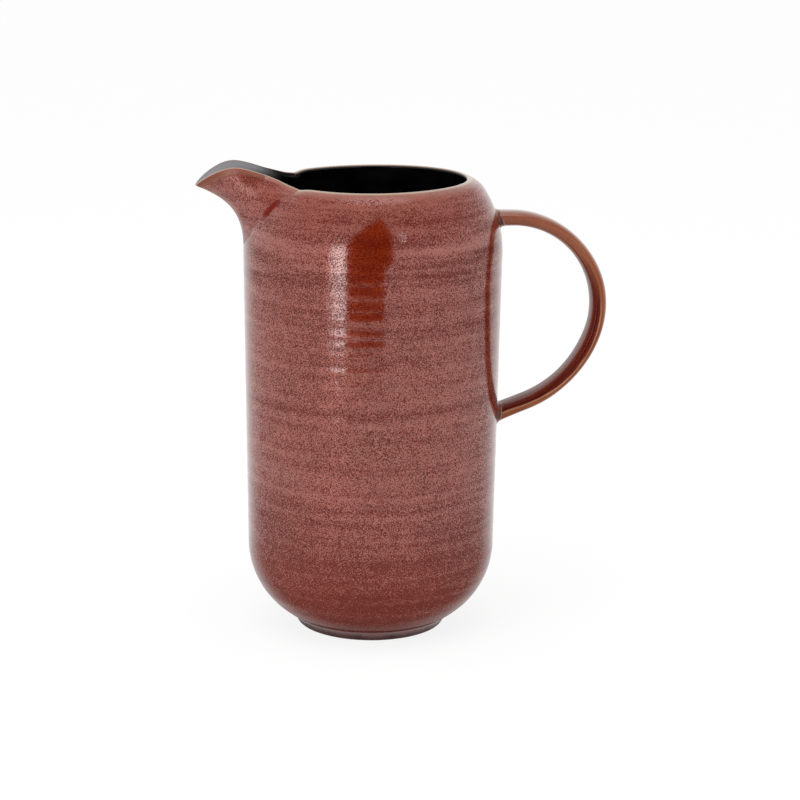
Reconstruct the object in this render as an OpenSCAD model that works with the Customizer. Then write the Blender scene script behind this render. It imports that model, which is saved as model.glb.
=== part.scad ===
// Wheel-thrown stoneware jug with a beak spout, a loop handle and a dark liner glaze.
// Millimetres. The origin is the middle of the foot's resting face and +Z is up.
// The spout points to -X and the handle to +X.

/* [Body] */
// Height of the lip above the table
rim_z = 213; // [190:0.2:240]
// Radius of the wall where the shoulder starts
wall_top_r = 60.2; // [56:0.1:66]
// Radius of the wall where the bottom corner starts
wall_low_r = 58.2; // [54:0.2:64]
// Thickness of the wall
wall_t = 5; // [3.5:0.1:7]
// Thickness of the floor
floor_t = 6.5; // [4:0.1:10]
// Radius of the rounded bottom corner
corner_r = 39.5; // [32:0.5:46]
// Height of the shoulder below the lip
shoulder_h = 33.4; // [30:0.2:39]
// Height of the long first bend of the shoulder
shoulder_bend_h = 28; // [22:0.2:30]
// Turn of that first bend in degrees
shoulder_turn = 34; // [28:0.5:40]
// How far the crest of the lip stands in from the top of the wall
shoulder_in = 16; // [13:0.2:20]
// Thickness of the rounded lip
lip_t = 2.8; // [2:0.1:4]

/* [Foot] */
// Height of the foot ring
foot_h = 4.1; // [2.5:0.1:7]
// Width of the foot ring
foot_w = 9; // [7:0.1:13]
// Rounding of the foot ring's outer edge
foot_round = 3.4; // [1:0.1:4]
// How far the foot ring stands in from the crease above it
foot_inset = 0.2; // [0:0.05:1]

/* [Spout] */
// How far the tip of the spout stands out from the top of the wall
spout_out = 21.8; // [16:0.1:32]
// Height of the spout's hump above the lip
spout_rise = 6.5; // [4:0.1:12]
// Width of the beak across the outside of its lips
spout_w = 25.7; // [20:0.1:32]
// How far below the lip the keel leaves the wall
spout_drop = 30; // [22:0.5:33]
// Depth of the round notch in the wall behind the spout, below the lip
notch_drop = 18; // [14:0.5:21]
// Half of the part of the rim that the spout takes up, in degrees
spout_spread = 37.3; // [32:0.1:44]
// Thickness of the spout's wall
spout_wall = 3; // [2.2:0.1:4.5]
// Thickness of the spout's edge at the tip and at the kinks
tip_t = 1.4; // [1:0.1:2.5]
// Height of the spout's edge at the tip
tip_h = 1.7; // [1:0.1:3]
// Thickness of the spout's edge where its outside meets the body
spout_foot_t = 0.6; // [0.4:0.1:1.2]
// Thickness of the joint of slip between the spout and the body
joint_t = 0.15; // [0.1:0.05:0.4]

/* [Handle] */
// Height of the handle's upper root below the lip
handle_drop = 18.3; // [15:0.1:24]
// Straight run of the handle out from the wall
handle_run = 4.5; // [4:0.1:12]
// Radius of the upper bend, to the middle of the strap
handle_bend_r = 41.5; // [34:0.5:48]
// Turn of the upper bend in degrees
handle_bend_turn = 110; // [90:1:116]
// Radius of the lower sweep, to the middle of the strap
handle_sweep_r = 54.5; // [46:0.5:66]
// Turn of the lower sweep in degrees
handle_sweep_turn = 48; // [40:1:56]
// Thickness of the strap at its top
handle_t = 6.6; // [5:0.1:9]
// How much thicker the strap is at its lower end
handle_gain = 0.9; // [0:0.1:2]
// Breadth of the strap
handle_w = 14.5; // [11:0.1:20]
// Distance from the wall over which the strap thickens toward its roots
swell_run = 20; // [10:1:30]
// Reach of the slip fillets along the strap
fillet_h = 3.2; // [2:0.1:4.5]
// Spread of the slip fillets over the body
fillet_w = 1.6; // [1:0.1:4]
// Thickness of the slip fillets at their edge on the strap
fillet_edge = 0.4; // [0.2:0.05:1]

/* [Glaze] */
// Thickness of the liner glaze
liner_t = 0.5; // [0.3:0.05:0.9]

/* [Hidden] */
$fn = 240;

// Side of the jug where a turned surface starts, clear of the spout and the handle, in degrees
seam_turn = 90;
// Overrun of every cut
overrun = 1;
// Largest turn between two points of a round outline, in degrees, and of the small lip
arc_step = 4;
lip_step = 12;

// Profile of the body, as [radius, height]: wall, bottom corner, shoulder and lip
corner_depth_share = 0.913;
shoulder_z = rim_z - shoulder_h;
corner_z = foot_h + corner_r * corner_depth_share;
taper = atan((wall_top_r - wall_low_r) / (shoulder_z - corner_z));
corner_c = [wall_low_r - corner_r * cos(taper), corner_z];
crease_r = corner_c[0] + corner_r * sqrt(1 - pow(corner_depth_share, 2));
shoulder_bend_r = shoulder_bend_h / (sin(shoulder_turn) + sin(taper));
bend_c = [wall_top_r - shoulder_bend_r * cos(taper), shoulder_z + shoulder_bend_r * sin(taper)];
bend_dir = [cos(shoulder_turn), sin(shoulder_turn)];
bend_end = bend_c + shoulder_bend_r * bend_dir;
lip_r = lip_t / 2;
mouth_r = wall_top_r - shoulder_in;
lip_c = [mouth_r, rim_z - lip_r];
// Second bend of the shoulder, tangent to the first one and to the lip
top_span = bend_end - lip_c;
top_r = (top_span * top_span - pow(lip_r, 2)) / (2 * (top_span * bend_dir - lip_r));
top_c = bend_end - top_r * bend_dir;
lip_out_dir = (lip_c - top_c) / norm(lip_c - top_c);
lip_out = lip_c + lip_r * lip_out_dir;
// Inner bend below the lip, tangent to the inner wall and to the lip
inner_t = wall_t / cos(taper);
inner_start = [wall_top_r - inner_t, shoulder_z];
inner_dir = [cos(taper), -sin(taper)];
inner_span = inner_start - lip_c;
inner_r = (inner_span * inner_span - pow(lip_r, 2)) / (2 * (inner_span * inner_dir + lip_r));
inner_c = inner_start - inner_r * inner_dir;
lip_in_dir = (inner_c - lip_c) / norm(inner_c - lip_c);

// Radius of the outside at a height
function bow(c, r, z) = c[0] + sqrt(max(0, r * r - pow(z - c[1], 2)));
function outer_r(z) =
    z < shoulder_z ? wall_top_r - (shoulder_z - z) * tan(taper) :
    z < bend_end[1] ? bow(bend_c, shoulder_bend_r, z) :
    bow(top_c, top_r, min(z, lip_out[1]));
// Direction up the outside at a height, as [radius, height]
function outer_up(z) =
    z < shoulder_z ? [sin(taper), cos(taper)] :
    let (c = z < bend_end[1] ? bend_c : top_c, d = [outer_r(z), min(z, lip_out[1])] - c)
    [-d[1], d[0]] / norm(d);

// Spout, station by station from the tip round to the kink in the rim
lip_out_shares = [1, 0.966, 0.904, 0.808, 0.707, 0.605, 0.498, 0.391, 0.295, 0.199, 0.103, 0];
lip_rise_shares = [-0.45, -0.22, 0.14, 0.57, 0.89, 1, 0.89, 0.69, 0.5, 0.33, 0.18, 0.04];
lip_width_shares = [0, 0.3, 0.58, 0.81, 0.93, 0.985, 1, 1, 1, 1, 1, 1];
lip_flare_shares = [0, 0, 0, 0, 0, 0, 0, 0, 0.05, 0.25, 0.6, 1];
// Where its outside stands on the body: shares of the spread and of the drop
outer_turn_shares = [0, 0.08, 0.16, 0.255, 0.35, 0.44, 0.525, 0.605, 0.685, 0.78, 0.885, 1];
outer_drop_shares = [1, 0.985, 0.955, 0.885, 0.81, 0.72, 0.6, 0.48, 0.37, 0.25, 0.14, 0.09];
// Half widths of the notch behind it, station by station, as shares of its width at the rim
notch_shares = [0, 0.1, 0.2, 0.31, 0.41, 0.505, 0.59, 0.67, 0.75, 0.83, 0.91, 0.975];
notch_spread_share = 0.93;
// Lean of the ribs at the lip, from upright, as shares of the lean at the tip
lean_shares = [1, 0.9, 0.75, 0.55, 0.35, 0.2, 0.1, 0.05, 0, 0, 0, 0];
tip_lean = 68;
// Lean of the ribs at the body, from its wall, outside and in the channel
outer_lean = 4;
inner_lean = 30;
// How far a rib follows its first and last direction, as a share of its length
rib_root_share = 0.5;
rib_lip_share = 0.34;
rib_steps = 8;
base_steps = 5;
last = len(lip_out_shares) - 1;
tip_u = wall_top_r + spout_out;
kink_u = mouth_r * cos(spout_spread);
kink_v = mouth_r * sin(spout_spread);

// Point of the lip, as [distance out, half width, height]
function lip_u(i) = kink_u + (tip_u - kink_u) * lip_out_shares[i];
function lip_v(i) = spout_w / 2 * lip_width_shares[i] + (kink_v - spout_w / 2) * lip_flare_shares[i];
function outer_lip(i) = [lip_u(i), lip_v(i), rim_z + spout_rise * lip_rise_shares[i]];
// Outward direction of the lip seen from above
function lip_normal(i) =
    i == 0 ? [1, 0, 0] :
    let (a = i - 1, b = min(i + 1, last), d = [lip_v(b) - lip_v(a), lip_u(a) - lip_u(b), 0])
    d / norm(d);
function inner_lip(i) = outer_lip(i) - (i == 0 || i == last ? tip_t : spout_wall) * lip_normal(i);
// Point over the outside of the body, clear of it by the joint, and a direction up its wall that leans outward
function on_body(foot, thick = 0) =
    let (up = outer_up(foot[1]), at = [outer_r(foot[1]), foot[1]] + (joint_t + thick) * [up[1], -up[0]])
    [at[0] * cos(foot[0]), at[0] * sin(foot[0]), at[1]];
function off_body(foot, lean) =
    let (up = outer_up(foot[1]), way = cos(lean) * up + sin(lean) * [up[1], -up[0]])
    [way[0] * cos(foot[0]), way[0] * sin(foot[0]), way[1]];
// A rib runs from the body to the lip in one curve
function lip_way(i) = let (a = tip_lean * lean_shares[i]) [sin(a), 0, cos(a)];
function bezier(a, b, c, d, t) =
    pow(1 - t, 3) * a + 3 * pow(1 - t, 2) * t * b + 3 * (1 - t) * t * t * c + pow(t, 3) * d;
function rib(foot, thick, lean, to, way) =
    let (from = on_body(foot, thick), reach = norm(to - from))
    let (b = from + rib_root_share * reach * off_body(foot, lean))
    let (c = to - rib_lip_share * reach * way)
    [for (k = [0 : rib_steps]) bezier(from, b, c, to, k / rib_steps)];
// Feet of the ribs on the body, as [turn from the spout's middle, height]
function outer_foot(i) = [spout_spread * outer_turn_shares[i], rim_z - spout_drop * outer_drop_shares[i]];
// Toward the kink the ribs end along the top of the shoulder
function end_way(i, turn) =
    let (share = pow(i / last, 6), way = (1 - share) * lip_way(i) + share * off_body([turn, rim_z], 0))
    way / norm(way);
function outer_rib(i) =
    let (to = outer_lip(i) - [0, 0, tip_h * max(0, 1 - i / 2)])
    rib(outer_foot(i), spout_foot_t, outer_lean, to, end_way(i, outer_foot(i)[0]));
// The channel stands on the round edge of the notch
notch_w = mouth_r * sin(spout_spread * notch_spread_share);
notch_r = (pow(notch_w, 2) + pow(notch_drop, 2)) / (2 * notch_drop);
notch_z = rim_z - notch_drop + notch_r;
function inner_foot(i) =
    let (v = notch_w * notch_shares[i], z = notch_z - sqrt(pow(notch_r, 2) - v * v))
    [asin(v / outer_r(z)), z];
function inner_rib(i) =
    rib(inner_foot(i), 0, inner_lean * (1 - pow(i / last, 4)), inner_lip(i), end_way(i, inner_foot(i)[0]));
// Underside of the wall between its two feet, which follows the body
function base(i) =
    [for (k = [1 : base_steps]) let (share = k / base_steps)
        on_body((1 - share) * inner_foot(i) + share * outer_foot(i))];
function backward(list) = [for (k = [len(list) - 1 : -1 : 0]) list[k]];
function to_side(points, side) = [for (p = points) [-p[0], side * p[1], p[2]]];

// Closed shell through a row of loops, each made of an outer rib, its inner rib and the base
module shell(loops) {
    m = len(loops[0]);
    n = len(loops);
    ribs = 2 * (rib_steps + 1);
    function at(s, k) = s * m + k % m;
    skin = [for (s = [0 : n - 2]) for (k = [0 : m - 1]) each s < n / 2 - 1 ?
        [[at(s, k), at(s + 1, k + 1), at(s, k + 1)], [at(s, k), at(s + 1, k), at(s + 1, k + 1)]] :
        [[at(s, k), at(s + 1, k), at(s, k + 1)], [at(s + 1, k), at(s + 1, k + 1), at(s, k + 1)]]];
    first_end = concat(
        [for (k = [0 : rib_steps - 1]) each [[k, k + 1, ribs - 2 - k], [k, ribs - 2 - k, ribs - 1 - k]]],
        [for (k = [ribs - 1 : m - 2]) [0, k, k + 1]]);
    last_end = [for (f = first_end) [for (v = backward(f)) v + (n - 1) * m]];
    polyhedron([for (l = loops) each l], concat(skin, first_end, last_end));
}

// Round opening that is cut through the wall behind the spout
module notch() {
    translate([0, 0, notch_z]) rotate([0, -90, 0]) cylinder(h = wall_top_r + overrun, r = notch_r);
}

// Points of an arc from one angle to another
function arc(c, r, from, to, step = arc_step) =
    let (n = ceil(abs(to - from) / step))
    [for (k = [0 : n]) let (a = from + (to - from) * k / n) c + r * [cos(a), sin(a)]];
function heading(d) = (atan2(d[1], d[0]) + 360) % 360;

// Outside of the body from the crease at the foot up to the lip
outside = concat(
    arc(corner_c, corner_r, -asin(corner_depth_share), -taper),
    arc(bend_c, shoulder_bend_r, -taper, shoulder_turn),
    arc(top_c, top_r, shoulder_turn, heading(lip_out_dir)));
// Inside of the jug from the side of the lip down to the floor, drawn in by the thickness of a coat
function inside(coat) =
    let (low = foot_h + floor_t + coat, low_r = corner_r - wall_t - coat, in = heading(lip_in_dir))
    concat(
        arc(lip_c, lip_r + coat, 180, in, lip_step),
        arc(inner_c, inner_r - coat, in - 180, -taper),
        arc(corner_c, low_r, -taper, -asin((corner_z - low) / low_r)),
        [[0, low]]);

module turned(outline) { rotate([0, 0, seam_turn]) rotate_extrude() polygon(outline); }

module body_outside() { turned(concat([[0, foot_h]], outside, [[mouth_r, rim_z], [0, rim_z]])); }

module body() {
    lip = arc(lip_c, lip_r, heading(lip_out_dir), 180, lip_step);
    color("#8f5044") difference() {
        turned(concat([[0, foot_h]], outside, lip, inside(0)));
        notch();
    }
}

module foot_ring() {
    foot_r = crease_r - foot_inset;
    color("#583935") rotate_extrude() {
        translate([foot_r - foot_w, 0]) square([foot_w - foot_round, foot_h]);
        translate([foot_r - foot_round, foot_round]) square([foot_round, foot_h - foot_round]);
        intersection() {
            translate([foot_r - foot_round, foot_round]) circle(foot_round);
            translate([foot_r - foot_round, 0]) square(foot_round);
        }
    }
}

module spout() {
    loops = [for (s = [-last : last]) let (i = abs(s))
        to_side(concat(outer_rib(i), backward(inner_rib(i)), base(i)), sign(s))];
    color("#945a4c") shell(loops);
}

// Middle line of the handle, as [distance out, height]
handle_z = rim_z - handle_drop;
handle_start = wall_top_r + handle_run;
bend_mid = [handle_start, handle_z - handle_bend_r];
bend_low = 90 - handle_bend_turn;
sweep_mid = bend_mid + (handle_bend_r - handle_sweep_r) * [cos(bend_low), sin(bend_low)];
sweep_low = bend_low - handle_sweep_turn;
tail_top = sweep_mid + handle_sweep_r * [cos(sweep_low), sin(sweep_low)];
tail_heading = 90 - sweep_low;
tail_way = [cos(tail_heading), -sin(tail_heading)];
tail_wall = (outer_r(tail_top[1]) - tail_top[0]) / (tail_way[0] - tail_way[1] * tan(taper));
// The straight ends run on into the wall, where the body cuts them, and the fillets reach out along them
root_from = [outer_r(handle_z) - wall_t, handle_z];
root_edge = root_from + [wall_t + fillet_h, 0];
tail_to = tail_top + tail_way * (tail_wall + wall_t);
tail_edge = tail_to - tail_way * (wall_t + fillet_h);
bend_steps = 10;
end_steps = 3;
strap_sides = 20;
root_swell_share = 0.06;

// Stations of the strap, as [distance out, height, heading below level]
function straight(a, b, heading, k) = concat(a + (b - a) * k / end_steps, [heading]);
function curved(mid, r, high, turn, k) =
    let (a = high - turn * k / bend_steps) concat(mid + r * [cos(a), sin(a)], [90 - a]);
strap_path = concat(
    [concat(root_from, [0])],
    [for (k = [0 : end_steps - 1]) straight(root_edge, [handle_start, handle_z], 0, k)],
    [for (k = [0 : bend_steps]) curved(bend_mid, handle_bend_r, 90, handle_bend_turn, k)],
    [for (k = [1 : bend_steps]) curved(sweep_mid, handle_sweep_r, bend_low, handle_sweep_turn, k)],
    [for (k = [1 : end_steps]) straight(tail_top, tail_edge, tail_heading, k)],
    [concat(tail_to, [tail_heading])]);

// The pulled strap thickens a little toward its roots
function swell(x) = 1 + root_swell_share * pow(min(1, max(0, 1 - (x - wall_top_r) / swell_run)), 2);
// Oval ring of the strap at a station, grown by some thickness
function strap_ring(at, grow) =
    let (size = swell(at[0]), low = (handle_z - at[1]) / (handle_z - tail_top[1]))
    let (a = size * (handle_t + handle_gain * low) / 2 + grow, b = size * handle_w / 2 + grow)
    [for (j = [0 : strap_sides - 1]) let (turn = 360 * j / strap_sides, up = a * cos(turn))
        [at[0] + up * sin(at[2]), b * sin(turn), at[1] + up * cos(at[2])]];

module strap(rings) {
    m = strap_sides;
    n = len(rings);
    function at(s, k) = s * m + k % m;
    skin = [for (s = [0 : n - 2]) for (k = [0 : m - 1]) each [
        [at(s, k), at(s, k + 1), at(s + 1, k + 1)], [at(s, k), at(s + 1, k + 1), at(s + 1, k)]]];
    first_end = [[for (k = [m - 1 : -1 : 0]) k]];
    last_end = [[for (k = [0 : m - 1]) at(n - 1, k)]];
    polyhedron([for (r = rings) each r], concat(skin, first_end, last_end));
}

module handle() {
    color("#8a4a34") difference() {
        strap([for (at = strap_path) strap_ring(at, 0)]);
        body_outside();
    }
}

// Flared collar of slip round the end of the strap, from inside the wall out to the fillet's edge
module fillet(inside, edge) {
    flare = fillet_w * (wall_t + fillet_h) / fillet_h;
    m = strap_sides;
    rings = [strap_ring(inside, 0), strap_ring(inside, fillet_edge + flare),
        strap_ring(edge, fillet_edge), strap_ring(edge, 0)];
    function at(s, k) = (s % 4) * m + k % m;
    skin = [for (s = [0 : 3]) for (k = [0 : m - 1]) each [
        [at(s, k), at(s, k + 1), at(s + 1, k + 1)], [at(s, k), at(s + 1, k + 1), at(s + 1, k)]]];
    color("#a08074") difference() {
        polyhedron([for (r = rings) each r], skin);
        body_outside();
    }
}

module upper_handle_fillet() { fillet(concat(root_from, [0]), concat(root_edge, [0])); }

module lower_handle_fillet() { fillet(concat(tail_to, [tail_heading]), concat(tail_edge, [tail_heading])); }

module liner_glaze() {
    color("#0b0b0c") difference() {
        turned(concat(inside(0), backward(inside(liner_t))));
        notch();
    }
}

body();
foot_ring();
spout();
handle();
upper_handle_fillet();
lower_handle_fillet();
liner_glaze();
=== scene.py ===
"""A wheel-thrown stoneware jug with a beak spout, a loop handle and a speckled red glaze.

The pieces are built in millimetres, mostly from the sizes that the CAD part names, and made in metres.
The spout points to -X and the handle to +X. The camera stands on the -Y side, a little toward the spout.
"""

import math

import bpy
import numpy as np
from mathutils import Matrix, Vector


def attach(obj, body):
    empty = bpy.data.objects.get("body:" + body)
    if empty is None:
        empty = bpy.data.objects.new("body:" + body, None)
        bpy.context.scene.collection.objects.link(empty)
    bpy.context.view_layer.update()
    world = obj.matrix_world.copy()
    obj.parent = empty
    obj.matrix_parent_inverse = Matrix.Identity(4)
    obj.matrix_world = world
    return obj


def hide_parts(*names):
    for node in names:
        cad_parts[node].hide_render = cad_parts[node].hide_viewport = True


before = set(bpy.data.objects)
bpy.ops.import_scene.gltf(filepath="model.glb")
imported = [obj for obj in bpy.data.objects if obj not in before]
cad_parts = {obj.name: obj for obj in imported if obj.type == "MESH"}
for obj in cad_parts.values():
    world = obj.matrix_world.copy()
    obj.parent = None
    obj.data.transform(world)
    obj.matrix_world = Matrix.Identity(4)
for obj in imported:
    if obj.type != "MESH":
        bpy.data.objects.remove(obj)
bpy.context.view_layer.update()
scene = bpy.context.scene
MM = 0.001

# Sizes of the body, in millimetres and degrees
RIM_Z = 213.0
WALL_TOP_R = 60.2
WALL_LOW_R = 58.2
WALL_T = 5.0
FLOOR_T = 6.5
CORNER_R = 39.5
CORNER_DEPTH_SHARE = 0.913
SHOULDER_H = 33.4
SHOULDER_BEND_H = 28.0
SHOULDER_TURN = 34.0
SHOULDER_IN = 16.0
LIP_R = 1.4
FOOT_H = 4.1
FOOT_W = 9.0
FOOT_ROUND = 2.7
FOOT_INNER_ROUND = 1.2
FOOT_INSET = 0.2
# How far up the wall the hollow above the foot runs, and how far the foot flares out below it
CREASE_LAP = 6.0
FOOT_FLARE = 0.6
LINER_T = 0.5
# How far one skin stands off another that it lies on
SKIN_GAP = 0.02

# Profile of the body, as [radius, height]
SHOULDER_Z = RIM_Z - SHOULDER_H
CORNER_Z = FOOT_H + CORNER_R * CORNER_DEPTH_SHARE
TAPER = math.degrees(math.atan((WALL_TOP_R - WALL_LOW_R) / (SHOULDER_Z - CORNER_Z)))
MOUTH_R = WALL_TOP_R - SHOULDER_IN


def aim(degrees):
    """Unit vector at an angle."""
    return np.array([math.cos(math.radians(degrees)), math.sin(math.radians(degrees))])


def heading(way):
    """Angle of a vector, from 0 to 360 degrees."""
    return math.degrees(math.atan2(way[1], way[0])) % 360


SHOULDER_BEND_R = SHOULDER_BEND_H / (aim(SHOULDER_TURN)[1] + aim(TAPER)[1])
corner_c = np.array([WALL_LOW_R - CORNER_R * aim(TAPER)[0], CORNER_Z])
crease_r = corner_c[0] + CORNER_R * math.sqrt(1 - CORNER_DEPTH_SHARE**2)
bend_c = np.array([WALL_TOP_R, SHOULDER_Z]) - SHOULDER_BEND_R * aim(-TAPER)
bend_end = bend_c + SHOULDER_BEND_R * aim(SHOULDER_TURN)
lip_c = np.array([MOUTH_R, RIM_Z - LIP_R])
top_span = bend_end - lip_c
top_r = (top_span @ top_span - LIP_R**2) / (2 * (top_span @ aim(SHOULDER_TURN) - LIP_R))
top_c = bend_end - top_r * aim(SHOULDER_TURN)
lip_out = heading(lip_c - top_c)
inner_start = np.array([WALL_TOP_R - WALL_T / aim(TAPER)[0], SHOULDER_Z])
inner_span = inner_start - lip_c
inner_r = (inner_span @ inner_span - LIP_R**2) / (2 * (inner_span @ aim(-TAPER) + LIP_R))
inner_c = inner_start - inner_r * aim(-TAPER)
lip_in = heading(inner_c - lip_c)
FLOOR_Z = FOOT_H + FLOOR_T

# Points of a path that are nearer than this are one
SAME_POINT = 1e-6


def arc(centre, radius, start, stop, step=0.25):
    """Points of an arc from one angle to another, about a step apart."""
    count = max(6, int(abs(math.radians(stop - start)) * radius / step))
    turn = np.radians(np.linspace(start, stop, count))
    return np.stack([centre[0] + radius * np.cos(turn), centre[1] + radius * np.sin(turn)], 1)


class Path:
    """A line of [radius, height] points that is read by the length along it."""

    def __init__(self, *stretches):
        points = np.concatenate(stretches)
        step = np.hypot(*np.diff(points, axis=0).T)
        apart = step > SAME_POINT
        self.points = points[np.concatenate([[True], apart])]
        self.at = np.concatenate([[0], np.cumsum(step[apart])])
        self.length = self.at[-1]

    def point(self, at):
        return np.stack([np.interp(at, self.at, self.points[:, k]) for k in (0, 1)], -1)

    def way(self, at, reach=0.6):
        """Direction along the line."""
        way = self.point(np.minimum(at + reach, self.length)) - self.point(np.maximum(at - reach, 0))
        return unit(way)

    def normal(self, at):
        """Direction to the right of the line."""
        way = self.way(at)
        return np.stack([way[..., 1], -way[..., 0]], -1)

    def at_height(self, z):
        rising = self.points[-1, 1] > self.points[0, 1]
        order = slice(None) if rising else slice(None, None, -1)
        return np.interp(z, self.points[order, 1], self.at[order])


corner_low = -math.degrees(math.asin(CORNER_DEPTH_SHARE))
outside = Path(
    arc(corner_c, CORNER_R, corner_low, -TAPER),
    arc(bend_c, SHOULDER_BEND_R, -TAPER, SHOULDER_TURN),
    arc(top_c, top_r, SHOULDER_TURN, lip_out),
)


def inside(coat):
    """Inside of the jug from the side of the lip down to the floor, drawn in by a coat."""
    low = FLOOR_Z + coat
    low_r = CORNER_R - WALL_T - coat
    floor_turn = -math.degrees(math.asin((CORNER_Z - low) / low_r))
    return Path(
        arc(lip_c, LIP_R + coat, 180, lip_in, 0.1),
        arc(inner_c, inner_r - coat, lip_in - 180, -TAPER),
        arc(corner_c, low_r, -TAPER, floor_turn),
        np.array([[1.0, low]]),
    )


# Sizes of the spout, in millimetres and degrees
SPOUT_OUT = 21.8
SPOUT_RISE = 7.2
SPOUT_W = 25.7
SPOUT_DROP = 30.0
SPOUT_SPREAD = 36.4
TIP_T = 1.5
SPOUT_EDGE_T = 0.9
NEAR_KINK_T = 1.6
KINK_T = 1.7
TIP_LEAN = 68.0
# How far the inside of the spout's lips leans out
INNER_FLARE = 26.0
# How far the spout's edge runs on into the lip of the body, how deep it ends there, and its foot's drop
SINK_TURN = 3.0
SINK_DEPTH = 0.5
SINK_FOOT_DROP = 1.6
# Dip of the rim at the kinks, and its half width in degrees
RIM_DIP = 0.9
RIM_DIP_TURN = 6.5
# How much deeper the body's own lip lies behind the spout
BEHIND_DIP = 1.3
# How much higher the rim stands on the handle's side
RIM_LIFT = 0.9
# Overlap of the spout's feet and the wall that is cut open behind them
FOOT_LAP = 1.4
RIB_ROOT_SHARE = 0.5
RIB_LIP_SHARE = 0.34

# Stations of the spout from the tip to the kink in the rim: shares of its reach, rise, width and flare
LIP_OUT = [1, 0.966, 0.904, 0.808, 0.707, 0.605, 0.498, 0.391, 0.295, 0.199, 0.103, 0]
LIP_RISE = [-0.28, -0.08, 0.24, 0.63, 0.91, 1, 0.9, 0.71, 0.51, 0.3, 0.06, -0.12]
LIP_WIDTH = [0, 0.3, 0.58, 0.81, 0.93, 0.985, 1, 1, 1, 1, 1, 1]
LIP_FLARE = [0, 0, 0, 0, 0, 0, 0, 0, 0.03, 0.22, 0.57, 1]
# Where its outside stands on the body: shares of the spread and of the drop
FOOT_TURN = [0, 0.08, 0.16, 0.255, 0.35, 0.44, 0.525, 0.605, 0.685, 0.78, 0.885, 1]
FOOT_DROP = [1, 0.985, 0.955, 0.885, 0.81, 0.72, 0.6, 0.48, 0.37, 0.25, 0.14, 0.09]
# Lean of the ribs at the lip, from upright, as shares of the lean at the tip
LIP_LEAN = [1, 0.9, 0.75, 0.55, 0.35, 0.2, 0.1, 0.05, 0, 0, 0, 0]

# Sizes of the handle, in millimetres and degrees
HANDLE_DROP = 18.3
HANDLE_RUN = 4.5
HANDLE_BEND_R = 41.5
HANDLE_BEND_TURN = 110.0
HANDLE_SWEEP_R = 54.5
HANDLE_SWEEP_TURN = 48.0
HANDLE_T = 6.6
HANDLE_GAIN = 0.9
HANDLE_LOSS = 0.4
HANDLE_W = 14.5
SWELL_RUN = 20.0
ROOT_SWELL_SHARE = 0.06
SECTION_POWER = 2.6
FILLET_H = 2.4
FILLET_W = 1.7


def smoothstep(low, high, value):
    share = np.clip((value - low) / (high - low), 0, 1)
    return share * share * (3 - 2 * share)


def hump(value, middle, width):
    """Soft bump of height 1."""
    return np.exp(-(((value - middle) / width) ** 2))


def place(radius, turn, z):
    """Points at a radius, a turn from the spout toward the camera's side in degrees, and a height."""
    a = np.radians(turn)
    return np.stack(np.broadcast_arrays(-radius * np.cos(a), -radius * np.sin(a), z), -1)


def unit(v):
    return v / np.linalg.norm(v, axis=-1, keepdims=True)


def grid_faces(rows, columns, close_rows=False, close_columns=True):
    """Quads of a grid of points that are numbered row by row."""
    faces = []
    for i in range(rows if close_rows else rows - 1):
        a = i * columns
        b = (i + 1) % rows * columns
        for j in range(columns if close_columns else columns - 1):
            k = (j + 1) % columns
            faces.append((a + j, a + k, b + k, b + j))
    return faces


def tube_faces(rows, columns):
    """Quads of a tube of points, with a face at each end."""
    first = tuple(range(columns))
    last = tuple((rows - 1) * columns + j for j in range(columns))
    return [*grid_faces(rows, columns), first[::-1], last]


def flipped(faces):
    return [f[::-1] for f in faces]


def full_turn(columns):
    """Turns of the columns of a grid round the jug, in degrees."""
    return np.arange(columns) * 360 / columns


def add_piece(name, points, faces, material, node, values=None, vectors=None, sharp=None):
    """A piece of the jug that stands for a CAD node."""
    mesh = bpy.data.meshes.new(name)
    mesh.from_pydata((points.reshape(-1, 3) * MM).tolist(), [], faces)
    for key, data in (values or {}).items():
        layer = mesh.attributes.new(key, "FLOAT", "POINT")
        layer.data.foreach_set("value", np.asarray(data, np.float32).ravel())
    for key, data in (vectors or {}).items():
        layer = mesh.attributes.new(key, "FLOAT_VECTOR", "POINT")
        layer.data.foreach_set("vector", np.asarray(data, np.float32).ravel())
    mesh.shade_smooth()
    if sharp:
        mesh.set_sharp_from_angle(angle=math.radians(sharp))
    mesh.materials.append(material)
    piece = bpy.data.objects.new(name, mesh)
    scene.collection.objects.link(piece)
    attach(piece, "root")
    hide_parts(node)
    return piece


# Marks of the making that more than one piece shows

# Throwing grooves as [height, half width, depth share]; finer ones come from waves
GROOVES = (
    (193.6, 1.8, 0.9),
    (186.5, 1.6, 0.4),
    (166.6, 1.9, 0.6),
    (160.0, 2.4, 0.4),
    (154.5, 2.2, 0.4),
    (143.0, 1.8, 0.6),
    (135.7, 1.8, 0.5),
    (114.1, 1.8, 0.6),
    (89.5, 1.6, 0.5),
    (61.8, 1.7, 1.0),
    (53.7, 1.6, 0.9),
    (34.7, 1.4, 0.6),
    (28.0, 1.5, 0.8),
)
WAVES = ((4.3, 0.12), (6.1, 0.2), (8.9, 0.3), (13.0, 0.36), (21.0, 0.3))
RING_DEPTH = 0.07
# How far the bare tan crest runs down from the lip
CREST_W = 0.7


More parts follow.
